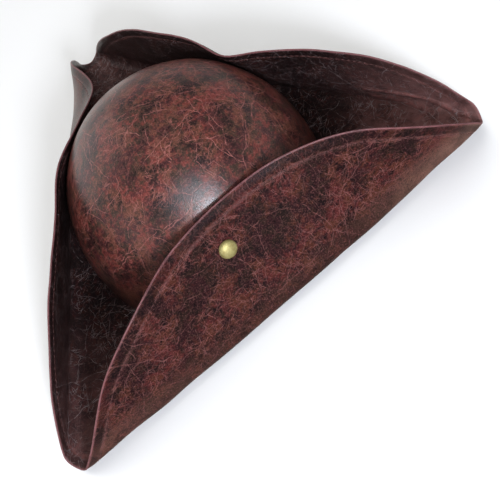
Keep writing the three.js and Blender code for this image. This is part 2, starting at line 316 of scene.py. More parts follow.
# The studio, in metres
FLOOR_HALF = 6.0
FLOOR_LEVEL = -0.0002
FLOOR_TONES = (245, 244, 242), (249, 248, 246)
CARD_LOW = -1.6, -0.1
CARD_HIGH = 0.1, 1.6
CARD_LEVEL = -0.0001
CARD_TONES = (246, 242, 238), (250, 247, 243)
BACKDROP_RADIUS = 4.0
BACKDROP_HEIGHT = 1.6
BACKDROP_SIDES = 128
BACKDROP_TONES = (192, 192, 192), (196, 196, 196)
PAPER_TONES = (20, 20, 20), (24, 24, 24)
WORLD_STRENGTH = 0.16
HAT_MIDDLE = (0, 0, 0.05)
SUN = dict(name="overhead", place=(-0.1, 0.35, 0.93), target=(0, 0, 0), power=1.4)
SUN_ANGLE = 60
SOFTBOXES = (
    dict(name="front", place=(-0.2, -1.49, 0.85), size=(0.3, 0.3), power=22, colour=(0.86, 0.9, 1.0)),
    dict(name="softbox", place=(-0.3, -1.22, 1.28), size=(1.3, 0.7), power=10, colour=(0.88, 0.94, 1.0)),
    dict(name="behind", place=(-1.0, 1.5, 0.85), size=(1.9, 1.9), power=8, colour=(1, 1, 1)),
    dict(name="side", place=(-1.6, -0.35, 0.75), size=(1.2, 1.2), power=1.5, colour=(1, 1, 1)),
)

# The camera at the photograph's angle: angles in degrees, lengths in millimetres
CAMERA_AZIMUTH = -9.16
CAMERA_ELEVATION = 55.24
CAMERA_ROLL = 32.97
CAMERA_DISTANCE = 899.67
CAMERA_TARGET = (27.88, 116.35, -250.21)
FOCAL_PIXELS = 843.55
PHOTO_PIXELS = 500
SENSOR_WIDTH = 36

crown_low, crown_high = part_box("crown")
AXIS = np.array([(crown_low[0] + crown_high[0]) / 2, (crown_low[1] + crown_high[1]) / 2, 0.0])


def smoothstep(t):
    t = np.clip(t, 0, 1)
    return t * t * (3 - 2 * t)


def grown(distance, start, length):
    """0 up to the start, and 1 from a length past it on."""
    return smoothstep((distance - start) / length)


def spline(values, share):
    """A smooth curve through evenly spaced values, at a share of its length."""
    padded = np.array([values[0], *values, values[-1]], float)
    place = np.clip(share, 0, 1) * (len(values) - 1)
    first = np.minimum(np.floor(place).astype(int), len(values) - 2)
    t = place - first
    p0, p1, p2, p3 = (padded[first + step] for step in range(4))
    start, end = (p2 - p0) / 2, (p3 - p1) / 2
    cubic = 2 * p1 - 2 * p2 + start + end
    square = -3 * p1 + 3 * p2 - 2 * start - end
    return cubic * t**3 + square * t**2 + start * t + p1


def direction(degrees):
    return math.cos(math.radians(degrees)), math.sin(math.radians(degrees))


def brim_radius(bearing):
    towards_point = 0.5 + 0.5 * np.cos(3 * np.radians(bearing - 90))
    return CROWN_RADIUS + BRIM_WIDTH + POINT_LENGTH * towards_point


def lean_at(flap, along):
    eased = spline(flap["leans"], (along / FOLD_HALF_LENGTH + 1) / 2)
    pinched = np.exp(-(((along - flap["along"] * FOLD_HALF_LENGTH) / PINCH_REACH) ** 2)) - 1
    return flap["crown_lean"] + eased + flap["pinch"] * pinched


def bend_length(flap):
    return FOLD_RADIUS * math.radians(flap["crown_lean"])


def fold(x, y):
    """Where spots of the flat leather go when the brim is folded, on the middle of its thickness."""
    x, y = np.asarray(x, float), np.asarray(y, float)
    place = np.stack([x, y, np.full(x.shape, BRIM_WALL / 2)], -1)
    for flap in FLAPS.values():
        out = direction(flap["facing"])
        beyond = np.maximum(x * out[0] + y * out[1] - FOLD_DISTANCE, 0)
        lean = np.radians(lean_at(flap, y * out[0] - x * out[1]))
        bent = np.minimum(beyond, FOLD_RADIUS * lean)
        turn = bent / FOLD_RADIUS
        straight = beyond - bent
        outward = FOLD_RADIUS * np.sin(turn) + straight * np.cos(lean) - beyond
        place[..., 0] += outward * out[0]
        place[..., 1] += outward * out[1]
        place[..., 2] += FOLD_RADIUS * (1 - np.cos(turn)) + straight * np.sin(lean)
    for point in POINTS:
        out = direction(point["facing"])
        reach = brim_radius(point["facing"]) - FOLD_DISTANCE
        share = smoothstep((x * out[0] + y * out[1] - FOLD_DISTANCE) / reach)
        place[..., 2] += point["lift"] * share
        place[..., 0] += point["sway"] * share
    return place


def crown_level(place):
    """1 on the crown's surface, less inside it and more outside."""
    across = np.hypot(place[..., 0], place[..., 1]) / CROWN_RADIUS
    up = np.maximum(place[..., 2] - CROWN_BASE, 0) / CROWN_HEIGHT
    return (across**CROWN_FULLNESS + up**CROWN_FULLNESS) ** (1 / CROWN_FULLNESS)


def crown_distance(place):
    """Roughly how far outside the crown's surface places are."""
    step = 0.2
    slope = [
        (crown_level(place + shift) - crown_level(place - shift)) / (2 * step)
        for shift in np.eye(3) * step
    ]
    return (crown_level(place) - 1) / np.sqrt(sum(part**2 for part in slope))


def waves(x, y):
    """Slow unevenness of hand-shaped leather, about between -1 and 1."""
    total = 0
    for length, bearing, phase, share in WAVES:
        out = direction(bearing)
        total = total + share * np.sin((x * out[0] + y * out[1]) / length * 2 * math.pi + phase)
    return total


def flat_spot(flap, up, along):
    """The spot on the flat leather that is "up" from a flap's fold and "along" it."""
    out = direction(flap["facing"])
    far = FOLD_DISTANCE + up
    return far * out[0] - along * out[1], far * out[1] + along * out[0]


def stud_place(flap):
    """How far up from a flap's fold its stud sits, and how far along it."""
    return flap["up"] * FLAP_HEIGHT, flap["along"] * FOLD_HALF_LENGTH


def creased(x, y):
    """How far the creases raise the leather."""
    total = 0
    for crease in CREASES:
        start, via, end = (np.array(crease[key], float) for key in ("start", "via", "end"))
        near = np.inf
        for t in np.linspace(0, 1, CREASE_STEPS + 1):
            spot = start * (1 - t) ** 2 + via * 2 * t * (1 - t) + end * t**2
            near = np.minimum(near, np.hypot(x - spot[0], y - spot[1]))
        total = total + crease["height"] * np.exp(-((near / crease["width"]) ** 2))
    return total


def leather_normal(surface, x, y):
    step = 0.05
    along_x = surface(x + step, y) - surface(x - step, y)
    along_y = surface(x, y + step) - surface(x, y - step)
    normal = np.cross(along_x, along_y)
    return normal / np.linalg.norm(normal, axis=-1, keepdims=True)


def shaped(x, y):
    """The folded leather with its unevenness, kept off the crown, the studs and the floor."""
    place = fold(x, y)
    free = grown(crown_distance(place), *EVEN_AT_CROWN)
    free = free * grown(np.hypot(x, y) - FOLD_DISTANCE, *EVEN_AT_FOLD)
    for flap in FLAPS.values():
        stud = flat_spot(flap, *stud_place(flap))
        free = free * grown(np.hypot(x - stud[0], y - stud[1]), *EVEN_AT_STUD)
    raised = WAVE_HEIGHT * free * waves(x, y) + creased(x, y)
    place = place + leather_normal(fold, x, y) * raised[..., None]
    place[..., 2] = np.maximum(place[..., 2], BRIM_WALL / 2)
    return place


def half_thickness(inset):
    """Half the leather's thickness, pared and rounded at the cut edge and drawn in at the stitches."""
    pared = EDGE_WALL + (BRIM_WALL - EDGE_WALL) * smoothstep(inset / PARING_REACH)
    near = np.clip(1 - inset / (EDGE_WALL / 2), 0, EDGE_BLUNTNESS)
    groove = GROOVE_DEPTH * np.exp(-(((inset - STITCH_INSET) / GROOVE_WIDTH) ** 2))
    return pared / 2 * np.sqrt(1 - near**2) - groove


def add_mesh(name, vertices, faces, material, places=None):
    """A mesh object, from vertices in millimetres about the crown's axis."""
    mesh = bpy.data.meshes.new(name)
    mesh.from_pydata((np.asarray(vertices) * MM + AXIS).tolist(), [], faces)
    mesh.materials.append(material)
    mesh.shade_smooth()
    for key, values in (places or {}).items():
        kind, field = ("FLOAT", "value") if np.ndim(values) == 1 else ("FLOAT_VECTOR", "vector")
        attribute = mesh.attributes.new(key, kind, "POINT")
        attribute.data.foreach_set(field, np.asarray(values, np.float32).ravel())
    mesh.update()
    obj = bpy.data.objects.new(name, mesh)
    bpy.context.scene.collection.objects.link(obj)
    return obj


def brim_grid():
    """Rings of spots on the flat leather, from the head opening to the cut edge."""
    even = np.arange(BRIM_SECTORS) * 360 / BRIM_SECTORS
    bearings = even - POINT_CROWDING * np.degrees(np.sin(3 * np.radians(even - 90))) / 3
    hole = CROWN_RADIUS - CROWN_WALL
    shelf = hole + SHELF_SHARE * (CROWN_WALL + SHELF_WIDTH)
    columns = []
    for bearing in bearings:
        edge = brim_radius(bearing)
        inner = edge - EDGE_RINGS[-1]
        start, end = inner - BEND_START_ROOM, inner - BEND_END_ROOM
        for flap in FLAPS.values():
            share = math.cos(math.radians(bearing - flap["facing"]))
            if share > 0:
                start = min(start, FOLD_DISTANCE / share)
                end = min(end, (FOLD_DISTANCE + bend_length(flap)) / share)
        stops = hole, shelf, start, end, inner
        radii = [hole]
        for low, high, steps in zip(stops, stops[1:], BRIM_STEPS):
            radii += list(np.linspace(low, high, steps + 1)[1:])
        radii += [edge - inset for inset in EDGE_RINGS[-2::-1]]
        columns.append(radii)
    radii = np.array(columns)
    angles = np.radians(bearings)[:, None]
    return bearings, radii, radii * np.cos(angles), radii * np.sin(angles)


def brim_faces(sectors, rings):
    """The upper and lower faces of the brim, the wall of the head opening and the cut edge."""
    side = sectors * rings
    s, r = np.meshgrid(np.arange(sectors), np.arange(rings - 1), indexing="ij")
    a, d = s * rings + r, ((s + 1) % sectors) * rings + r
    b, c = a + 1, d + 1
    upper = np.stack([a, b, c, d], -1).reshape(-1, 4)
    lower = np.stack([a, d, c, b], -1).reshape(-1, 4) + side
    k = np.arange(sectors)
    this, other = k * rings, ((k + 1) % sectors) * rings
    inner = np.stack([this, other, other + side, this + side], -1)
    this, other = this + rings - 1, other + rings - 1
    outer = np.stack([this, this + side, other + side, other], -1)
    return np.concatenate([upper, lower, inner, outer]).tolist()


def make_brim(material):
    bearings, radii, x, y = brim_grid()
    inset = brim_radius(bearings)[:, None] - radii
    towards_point, bend = 0, 0
    # How pale the leather is made towards the points: partly wear, partly painted light on the tips
    for point in POINTS:
        away = np.abs((bearings - point["facing"] + 180) % 360 - 180)
        towards_point = towards_point + point["rub_and_light"] * smoothstep(1 - away / POINT_RUB_AND_LIGHT_ANGLE)
    towards_point = towards_point[:, None] * smoothstep((radii - FOLD_DISTANCE) / POINT_RUB_AND_LIGHT_REACH)
    # The pale band past each fold's bend: partly rubbed leather, partly a painted highlight on the rounded
    # bend
    reach = BEND_RUB_AND_LIGHT_REACH * (1 + towards_point)
    for flap in FLAPS.values():
        out = direction(flap["facing"])
        beyond = x * out[0] + y * out[1] - FOLD_DISTANCE
        fading = smoothstep(1 - (beyond - bend_length(flap)) / reach)
        bend = np.maximum(bend, smoothstep(beyond / BEND_RUB_AND_LIGHT_EDGE + 0.5) * fading)
    middle = shaped(x, y)
    half = leather_normal(shaped, x, y) * half_thickness(inset)[..., None]
    vertices = np.concatenate([(middle + half).reshape(-1, 3), (middle - half).reshape(-1, 3)])
    faces = brim_faces(*radii.shape)
    flat = np.stack([x, y, np.zeros_like(x)], -1).reshape(-1, 3)
    leather = np.concatenate([flat, flat + np.array([0, 0, FACE_SHIFT])])
    return add_mesh("brim_leather", vertices, faces, material, places={
        "inset": np.tile(inset.ravel(), 2),
        "upper": np.repeat([1.0, 0.0], radii.size),
        "point": np.tile(towards_point.ravel(), 2),
        "bend": np.concatenate([np.zeros(radii.size), bend.ravel()]),
        "crease": np.concatenate([creased(x, y).ravel(), np.zeros(radii.size)]),
        "leather": leather,
        "spot": leather,
    })


def crown_faces(rings):
    """The outer and inner faces of the crown, each up to its top's vertex, and its foot."""
    start = rings * CROWN_SECTORS + 1
    last = (rings - 1) * CROWN_SECTORS
    faces = []
    for s in range(CROWN_SECTORS):
        t = (s + 1) % CROWN_SECTORS
        for low in range(0, last, CROWN_SECTORS):
            high = low + CROWN_SECTORS
            faces.append((low + s, low + t, high + t, high + s))
            faces.append((start + low + t, start + low + s, start + high + s, start + high + t))
        faces.append((last + s, last + t, start - 1))
        faces.append((start + last + t, start + last + s, 2 * start - 1))
        faces.append((t, s, start + s, start + t))
    return faces


def make_crown(material):
    """The crown's shell, with slow dents, unrolled about its top for its scratches."""
    bearing = np.arange(CROWN_SECTORS) * 2 * math.pi / CROWN_SECTORS
    angle = (1 - (1 - np.linspace(0, 1, CROWN_RINGS)) ** CROWN_CROWDING) * math.pi / 2
    power = 2 / CROWN_FULLNESS
    level = np.cos(angle[:-1]) ** power, np.sin(angle[:-1]) ** power
    parts = []
    for inset in (0.0, CROWN_WALL):
        across = (CROWN_RADIUS - inset) * level[0]
        up = CROWN_BASE - CROWN_FOOT + (CROWN_HEIGHT + CROWN_FOOT - inset) * level[1]
        x, y = across[:, None] * np.cos(bearing), across[:, None] * np.sin(bearing)
        z = np.repeat(up[:, None], CROWN_SECTORS, 1)
        out = np.stack([x / CROWN_RADIUS, y / CROWN_RADIUS, z / CROWN_HEIGHT], -1)
        out /= np.linalg.norm(out, axis=-1, keepdims=True)
        soft = smoothstep(level[1] / CROWN_DENT_FULL)[:, None] * waves(
            x * CROWN_DENT_SPREAD + CROWN_DENT_PLACE,
            y * CROWN_DENT_SPREAD + z * CROWN_DENT_RISE,
        )
        place = np.stack([x, y, z], -1) - out * (CROWN_DENT * (soft + 1) / 2)[..., None]
        top = [[0, 0, CROWN_BASE + CROWN_HEIGHT - inset - CROWN_DENT / 2]]
        parts += [place.reshape(-1, 3), top]
    vertices = np.concatenate(parts)
    run = np.hypot(np.diff(level[0], append=0) * CROWN_RADIUS, np.diff(level[1], append=1) * CROWN_HEIGHT)
    from_top = np.cumsum(run[::-1])[::-1][:, None]
    unrolled = [from_top * np.cos(bearing), from_top * np.sin(bearing), 0 * (from_top + bearing)]
    unrolled = np.stack(unrolled, -1)
    leather = np.concatenate([unrolled.reshape(-1, 3), [[0, 0, 0]]])
    leather = np.concatenate([leather, leather + np.array([0, 0, FACE_SHIFT])])
    nothing = np.zeros(len(vertices))
    return add_mesh("crown_leather", vertices, crown_faces(CROWN_RINGS - 1), material, places={
        "inset": nothing + FAR_FROM_EDGE,
        "upper": nothing,
        "point": nothing,
        "bend": nothing,
        "crease": nothing,
        "leather": leather,
        "spot": vertices,
    })


def stitch_faces(first, outward):
    """The faces of one stitch, turned outward or, for the other side of the brim, round."""
    faces = []
    for r in range(STITCH_RINGS - 1):
        for k in range(STITCH_SIDES):
            a = first + r * STITCH_SIDES + k
            b = first + r * STITCH_SIDES + (k + 1) % STITCH_SIDES
            faces.append((a, b, b + STITCH_SIDES, a + STITCH_SIDES))
    near = tuple(range(first, first + STITCH_SIDES))
    far = tuple(corner + (STITCH_RINGS - 1) * STITCH_SIDES for corner in near)
    faces += [near[::-1], far]
    return faces if outward else [face[::-1] for face in faces]


def make_stitches(material):
    """Short raised stitches along the hem, on both faces of the brim."""
    bearing = np.linspace(0, 360, HEM_SAMPLES + 1)
    radius = brim_radius(bearing) - STITCH_INSET
    x, y = radius * np.cos(np.radians(bearing)), radius * np.sin(np.radians(bearing))
    run = np.concatenate([[0], np.cumsum(np.hypot(np.diff(x), np.diff(y)))])
    count = int(run[-1] / STITCH_PITCH)
    start = np.arange(count) * run[-1] / count
    share = np.linspace(0, 1, STITCH_RINGS)
    place = start[:, None] + share * STITCH_LENGTH
    x, y = np.interp(place, run, x), np.interp(place, run, y)
    middle = shaped(x, y)
    normal = leather_normal(shaped, x, y)
    along = np.gradient(middle, axis=1)
    along /= np.linalg.norm(along, axis=-1, keepdims=True)
    across = np.cross(along, normal)
    arch = np.sin(share * math.pi)
    thread = THREAD_DIAMETER / 2 * (THREAD_END + (1 - THREAD_END) * arch)
    lift = half_thickness(np.full(STITCH_RINGS, STITCH_INSET)) - STITCH_SINK + STITCH_RISE * arch
    turns = np.arange(STITCH_SIDES) * 2 * math.pi / STITCH_SIDES
    wide = (np.cos(turns) * thread[:, None])[None, ..., None]
    high = (np.sin(turns) * thread[:, None])[None, ..., None]
    vertices, faces = [], []
    for side in (1, -1):
        centre = middle + side * normal * lift[None, :, None]
        loop = centre[:, :, None] + across[:, :, None] * wide + normal[:, :, None] * side * high
        base = sum(len(part) for part in vertices)
        vertices.append(loop.reshape(-1, 3))
        for stitch in range(count):
            faces += stitch_faces(base + stitch * STITCH_RINGS * STITCH_SIDES, side == 1)
    return add_mesh("hem_stitches", np.concatenate(vertices), faces, material)


def stud_seat(flap):
    """The stud's place on the flap's outer face, its axis and its cap's standoff."""
    up, along = stud_place(flap)
    x, y = flat_spot(flap, up, along)
    axis = -leather_normal(fold, x, y)
    face = fold(x, y) + axis * BRIM_WALL / 2
    bearings = np.arange(SEAT_SECTORS) * 2 * math.pi / SEAT_SECTORS
    reach = SEAT_REACH * STUD_CAP_DIAMETER / 2
    spots = flat_spot(flap, up + reach * np.sin(bearings), along + reach * np.cos(bearings))
    rises = (fold(*spots) - face) @ axis + BRIM_WALL / 2
    return face, axis, max(0, rises.max()) + GAP


def head_depth(side, axis, standoff):
    """How deep the stud's head lies below the flap's outer face, from its solid's box."""
    low, high = (np.array(corner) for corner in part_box(f"stud_{side}"))
    reach = np.abs(axis) @ ((high - low) / MM)
    tilt = np.sqrt(1 - axis**2) @ np.abs(axis)
    across = (STUD_CAP_DIAMETER / 2 + STUD_HEAD_DIAMETER / 2) * tilt
    depth = reach - across - standoff - STUD_CAP_HEIGHT - STUD_HEAD_THICKNESS
    return max(depth, BRIM_WALL + CROWN_WALL)


def rounding(centre, radius, turns):
    return [
        (centre[0] + radius * math.cos(turn), centre[1] + radius * math.sin(turn))
        for turn in np.radians(turns)
    ]


def stud_profile(standoff, depth):
    """Half of the stud's outline and the step where its cap starts.

    From within: a flat head, a post and a domed cap with a rolled rim.
    """
    cap, post, head = STUD_CAP_DIAMETER / 2, STUD_POST_DIAMETER / 2, STUD_HEAD_DIAMETER / 2
    bend = STUD_HEAD_THICKNESS / 2
    profile = [(0, -depth - STUD_HEAD_THICKNESS)]
    profile += rounding((head - bend, -depth - bend), bend, HEAD_TURNS)
    profile += [(post + POST_FILLET, -depth), (post, -depth + POST_FILLET), (post, standoff - POST_TOP)]
    cap_start = len(profile)
    profile.append((post + NECK_WIDTH, standoff + NECK_HEIGHT))
    profile += rounding((cap - RIM_RADIUS, standoff + RIM_RADIUS), RIM_RADIUS, RIM_TURNS)
    across, up = profile[-1]
    rise = STUD_CAP_HEIGHT - 2 * RIM_RADIUS - DOME_INSET
    for angle in np.radians(np.linspace(DOME_START, 90, DOME_STEPS)):
        dome = (across - DOME_INSET) * math.cos(angle) ** DOME_FULLNESS
        profile.append((dome, up + rise * math.sin(angle)))
    return profile, cap_start


def make_stud(name, seat, depth, material):
    face, axis, standoff = seat
    profile, cap_start = stud_profile(standoff, depth)
    turns = np.arange(STUD_SECTORS) * 2 * math.pi / STUD_SECTORS
    aside = np.cross([0, 0, 1], axis)
    aside /= np.linalg.norm(aside)
    upward = np.cross(axis, aside)
    vertices = [face + axis * profile[0][1]]
    shown = [0.0]
    for step, (across, up) in enumerate(profile[1:-1], 1):
        for turn in turns:
            vertices.append(face + axis * up + (aside * math.cos(turn) + upward * math.sin(turn)) * across)
            shown.append(float(step >= cap_start))
    vertices.append(face + axis * profile[-1][1])
    shown.append(1.0)
    faces = []
    last = 1 + (len(profile) - 3) * STUD_SECTORS
    for k in range(STUD_SECTORS):
        n = (k + 1) % STUD_SECTORS
        faces.append((0, 1 + n, 1 + k))
        for low in range(1, last, STUD_SECTORS):
            faces.append((low + k, low + n, low + n + STUD_SECTORS, low + k + STUD_SECTORS))
        faces.append((last + k, last + n, len(vertices) - 1))
    return add_mesh(name, vertices, faces, material, places={"shown": np.array(shown)})


def linear(colour):
    """A screen colour from 0 to 255 as linear light."""
    return tuple((c / 255 / 12.92) if c <= 10 else ((c / 255 + 0.055) / 1.055) ** 2.4 for c in colour)


class Graph:
    """Short names for the nodes of a material."""

    def __init__(self, name):
        self.material = bpy.data.materials.new(name)
        self.material.use_nodes = True
        self.tree = self.material.node_tree
        self.tree.nodes.clear()
        self.shader = self.node("BsdfPrincipled")
        self.tree.links.new(self.shader.outputs[0], self.node("OutputMaterial").inputs["Surface"])

    def node(self, kind):
        return self.tree.nodes.new("ShaderNode" + kind)

    def put(self, socket, value):
        if isinstance(value, bpy.types.NodeSocket):
            self.tree.links.new(value, socket)
        elif value is not None:
            socket.default_value = value

    def set(self, name, value):
        self.put(self.shader.inputs[name], value)

    def math(self, operation, a, b=None):
        node = self.node("Math")
        node.operation = operation
        self.put(node.inputs[0], a)
        self.put(node.inputs[1], b)
        return node.outputs[0]

    def times(self, first, *others):
        for other in others:
            first = self.math("MULTIPLY", first, other)
        return first

    def vector(self, operation, a, b):
        node = self.node("VectorMath")
        node.operation = operation
        self.put(node.inputs[0], a)
        self.put(node.inputs[1], b)
        return node.outputs[0]

    def attribute(self, name, output="Fac"):
        node = self.node("Attribute")
        node.attribute_name = name
        return node.outputs[output]

    def place(self):
        return self.node("TexCoord").outputs["Object"]

    def noise(self, vector, scale, detail, roughness, output=0):
        node = self.node("TexNoise")
        self.put(node.inputs["Vector"], vector)
        node.inputs["Scale"].default_value = scale
        node.inputs["Detail"].default_value = detail
        node.inputs["Roughness"].default_value = roughness
        return node.outputs[output]

    def stray(self, vector, noise, reach):
        """A random step aside, of up to about half the reach."""
        aside = self.vector("SUBTRACT", self.noise(vector, *noise, output=1), (0.5, 0.5, 0.5))
        return self.vector("MULTIPLY", aside, (reach, reach, reach))

    def cracks(self, vector, scale, width):
        """Lines between the cells of a random mosaic, 1 on a line."""
        node = self.node("TexVoronoi")
        node.feature = "DISTANCE_TO_EDGE"
        self.put(node.inputs["Vector"], vector)
        node.inputs["Scale"].default_value = scale
        return self.span(node.outputs["Distance"], width, 0)

    def hairs(self, vector, layer, cell, width, bend, strength):
        """One thin, slightly bent scratch in each cell of a random mosaic, 1 or less on a line."""
        moved = self.vector("ADD", vector, (layer * HAIR_SHIFT[0], layer * HAIR_SHIFT[1], 0.0))
        node = self.node("TexVoronoi")
        node.voronoi_dimensions = "2D"
        self.put(node.inputs["Vector"], moved)
        node.inputs["Scale"].default_value = 1 / cell
        random = self.node("SeparateColor")
        self.put(random.inputs[0], node.outputs["Color"])
        local = self.node("SeparateXYZ")
        self.put(local.inputs[0], self.vector("SUBTRACT", moved, node.outputs["Position"]))
        turn = self.times(random.outputs[0], math.pi)
        cosine, sine = self.math("COSINE", turn), self.math("SINE", turn)
        x, y = local.outputs[0], local.outputs[1]
        across = self.math("SUBTRACT", self.times(x, cosine), self.times(y, sine))
        along = self.math("ADD", self.times(x, sine), self.times(y, cosine))
        bow = self.times(self.math("SUBTRACT", random.outputs[1], 0.5), bend / cell)
        across = self.math("ADD", across, self.times(along, along, bow))
        line = self.span(self.math("ABSOLUTE", across), width * HAIR_EDGE, width * HAIR_CORE)
        return self.times(line, self.span(random.outputs[2], *HAIR_STRENGTHS), strength)

    def span(self, value, low, high, low_to=0.0, high_to=1.0, smooth=True):
        """A value's way from low to high as a way from low_to to high_to, and no further."""
        node = self.node("MapRange")
        node.interpolation_type = "SMOOTHSTEP" if smooth else "LINEAR"
        self.put(node.inputs["Value"], value)
        node.inputs["From Min"].default_value = low
        node.inputs["From Max"].default_value = high
        node.inputs["To Min"].default_value = low_to
        node.inputs["To Max"].default_value = high_to
        return node.outputs[0]

    def mapping(self, vector, rotation, scale):
        node = self.node("Mapping")
        self.put(node.inputs["Vector"], vector)
        node.inputs["Rotation"].default_value = [math.radians(angle) for angle in rotation]
        node.inputs["Scale"].default_value = scale
        return node.outputs[0]

    def mixed(self, share, a, b):
        """Two colours mixed by a share, each a socket or a screen colour."""
        node = self.node("Mix")
        node.data_type = "RGBA"
        self.put(node.inputs[0], share)
        for index, value in ((6, a), (7, b)):
            is_socket = isinstance(value, bpy.types.NodeSocket)
            self.put(node.inputs[index], value if is_socket else (*linear(value), 1))
        return node.outputs[2]

    def bump(self, height, distance, strength):
        """Relief for the shader, with the distance in millimetres."""
        node = self.node("Bump")
        node.inputs["Strength"].default_value = strength
        node.inputs["Distance"].default_value = distance * MM
        self.put(node.inputs["Height"], height)
        self.put(self.shader.inputs["Normal"], node.outputs[0])


def scratches(g, ragged, wavy, broken, crowded, wear):
    """Fine scratches where they are crowded, and longer, wavy ones all over."""
    lines = 0.0
    for layer, hair in enumerate(HAIRS, FIRST_HAIR):
        lines = g.math("MAXIMUM", lines, g.hairs(ragged, layer, *hair))
    lines = g.times(lines, broken, crowded)
    for layer, hair in enumerate(LONG_HAIRS, FIRST_LONG_HAIR):
        lines = g.math("MAXIMUM", lines, g.times(g.hairs(wavy, layer, *hair), broken, wear["long"]))
    return lines


def outer_face(g, spot, patch, blotch, fleck, bend, point, lines, palette, wear):
    """Brown, olive and dark leather, rubbed to red and tan, paler on the folds' bends as partly rubbing
    and partly a painted highlight, with the pale scratches and grain.
    """
    share = wear["patches"]
    rubbed = g.math("ADD", g.times(patch, share), g.times(blotch, 1 - FLECK_SHARE - share))
    rubbed = g.span(g.math("ADD", rubbed, g.times(fleck, FLECK_SHARE)), *wear["rubbed"])
    olive = g.span(g.noise(spot, *OLIVE), *OLIVE_GROWS)
    warm = g.span(g.noise(spot, *WARMTH), *WARMTH_GROWS)
    colour = g.mixed(olive, palette["brown"], palette["olive"])
    colour = g.mixed(g.span(blotch, *DARK_FADES), colour, palette["dark"])
    rubbed_colour = g.mixed(warm, palette["red"], palette["tan"])
    colour = g.mixed(g.times(rubbed, RUBBED_STRENGTH), colour, rubbed_colour)
    # Rubbing and painted highlight: the fold's rounded bend is made paler tan, more so towards the points
    smooth_and_lit = g.times(bend, g.span(point, *BEND_SHOWS_TOWARDS_POINT))
    colour = g.mixed(smooth_and_lit, colour, g.mixed(point, BEND, BEND_AT_POINT))
    colour = g.mixed(lines, colour, palette["pale"])
    speck = g.noise(spot, *SPECK)
    dark = g.span(speck, *DARK_SPECKS, wear["grain"], 0.0)
    pale = g.span(speck, *PALE_SPECKS, 0.0, wear["grain"] * PALE_SPECK_SHARE)
    return g.mixed(pale, g.mixed(dark, colour, palette["dark"]), palette["pale"])


def inner_face(g, colour, blotch, fleck, point, lines, palette):
    """The flaps' inner side: darker, partly its own darker back and partly painted shade in the trough by
    the crown; paler towards the points, partly wear and partly painted light; with grey scratches.
    """
    inner = g.attribute("upper")
    covered = g.times(g.span(point, *INNER_FADES_TOWARDS_POINT), g.span(fleck, *INNER_FLECKS))
    # Painted shade and the leather's own darker back: the inner side is darkened
    colour = g.mixed(g.times(inner, covered), colour, INNER)
    # Wear and painted light: the inner side is made pale towards the points
    colour = g.mixed(g.times(inner, point, g.span(blotch, *INNER_RUB_AND_LIGHT)), colour, INNER_RUBBED_AND_LIT)
    pressed = g.times(g.span(g.attribute("crease"), *CREASE_GROWS), g.span(fleck, *CREASE_FLECKS))
    colour = g.mixed(pressed, colour, palette["pale"])
    return g.mixed(g.times(inner, g.span(lines, *INNER_SCRATCHES)), colour, GREY)


def hem(g, colour, blotch, palette):
    """The pale cut edge, the shade inside it and the wear over the stitches."""
    inset = g.attribute("inset")
    ragged = g.math("ADD", inset, g.times(g.math("SUBTRACT", blotch, 0.5), RIM_RAGGED))
    rim = g.times(g.span(ragged, *RIM_BAND), g.span(blotch, *RIM_BREAKS))
    colour = g.mixed(rim, colour, RIM)
    wear = g.times(*(g.span(inset, *side) for side in HEM_WEAR_BAND))
    colour = g.mixed(g.times(wear, g.span(blotch, *HEM_WEAR_BREAKS)), colour, palette["pale"])
    shade = g.times(*(g.span(inset, *side) for side in HEM_SHADE_BAND))
    return g.mixed(g.times(shade, HEM_SHADE), colour, palette["dark"])


def make_leather(name, shift, palette, wear):
    """Dark leather, rubbed to red-brown in patches, with fine pale scratches and a speckled grain."""
    g = Graph(name)
    place = g.vector("ADD", g.attribute("leather", "Vector"), shift)
    spot = g.vector("ADD", g.attribute("spot", "Vector"), shift)
    wander = g.stray(spot, WANDER, WANDER_REACH)
    ragged = g.vector("ADD", g.vector("ADD", place, wander), g.stray(spot, JITTER, JITTER_REACH))
    wavy = g.vector("ADD", ragged, g.stray(spot, CURL, CURL_REACH))
    strayed = g.vector("ADD", spot, wander)

    patch = g.noise(strayed, *PATCH)
    blotch = g.noise(strayed, *BLOTCH)
    fleck = g.noise(spot, *FLECK)
    broken = g.span(g.noise(spot, *BREAKS), *SCRATCHES_BREAK)
    crowded = g.span(patch, *SCRATCHES_CROWD, wear["sparse"], wear["dense"])
    bend = g.times(g.attribute("bend"), g.span(blotch, *BEND_BREAKS))
    point = g.attribute("point")
    lines = scratches(g, ragged, wavy, broken, crowded, wear)
    lines = g.times(lines, g.span(bend, *BEND_HIDES_SCRATCHES))

    colour = outer_face(g, spot, patch, blotch, fleck, bend, point, lines, palette, wear)
    colour = inner_face(g, colour, blotch, fleck, point, lines, palette)
    g.set("Base Color", hem(g, colour, blotch, palette))

    rough = g.span(fleck, *ROUGHNESS, smooth=False)
    g.set("Roughness", g.math("ADD", rough, g.times(lines, SCRATCH_ROUGHNESS)))
    g.set("Specular IOR Level", wear["gloss"])

    pebble = g.cracks(ragged, PEBBLE_SCALE, PEBBLE_SEAM)
    grain = g.times(g.noise(spot, *GRAIN), GRAIN_HEIGHT)
    height = g.math("SUBTRACT", grain, g.times(pebble, PEBBLE_DEPTH))
    height = g.math("SUBTRACT", height, g.times(lines, SCRATCH_DEPTH))
    g.bump(g.math("ADD", height, blotch), *LEATHER_RELIEF)
    return g.material


def make_thread():
    """Brown thread with a fine twist."""
    g = Graph("thread")
    twist = g.noise(g.mapping(g.place(), *THREAD_TWIST), 1.0, 2, 0.5)
    g.set("Base Color", g.mixed(twist, *THREAD_COLOURS))
    g.set("Roughness", THREAD_ROUGHNESS)
    g.bump(twist, *THREAD_RELIEF)
    return g.material


